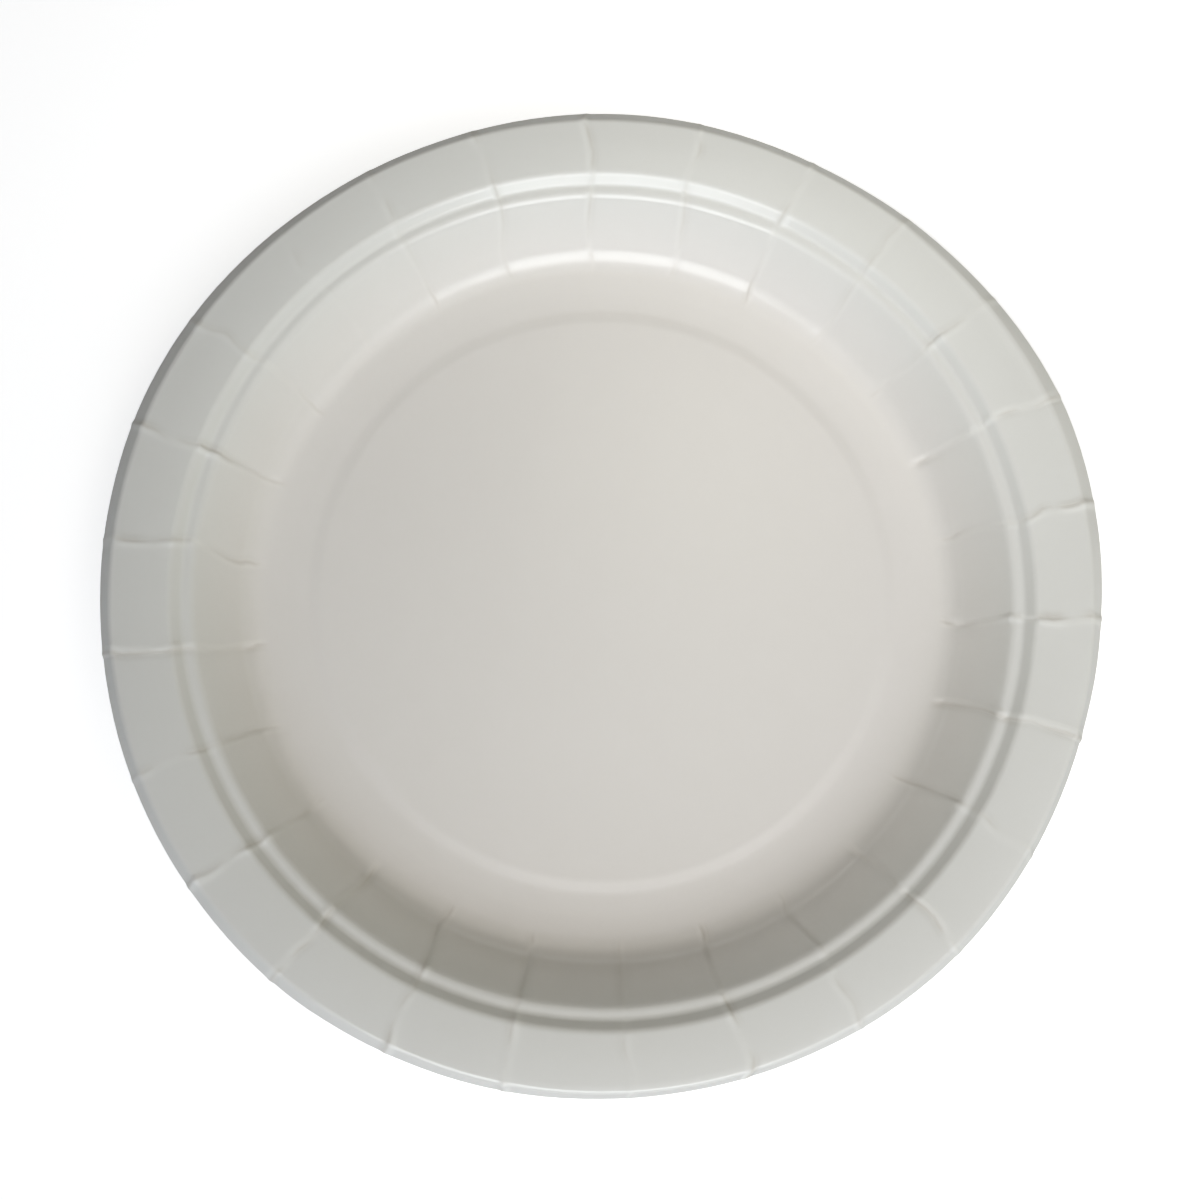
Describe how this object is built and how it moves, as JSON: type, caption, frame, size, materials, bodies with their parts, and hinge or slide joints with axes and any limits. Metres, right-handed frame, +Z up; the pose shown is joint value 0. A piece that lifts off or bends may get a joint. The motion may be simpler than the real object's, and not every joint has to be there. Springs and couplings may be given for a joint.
{
  "type": "paper plate",
  "caption": "Round white pleated paper plate of coated board, with a raised middle panel, a steep wall, a stepped rim and a turned-down edge.",
  "frame": {"origin": "centre of the ring that the plate rests on, in the plane of the surface under it", "axes": "+Z up along the plate's axis, -Y towards the person at the table, +X to the right"},
  "size_m": [0.26, 0.26, 0.0239],
  "materials": {
    "coated_board": "satin"
  },
  "bodies": {
    "root": {"plate": "coated_board"}
  },
  "joints": []
}
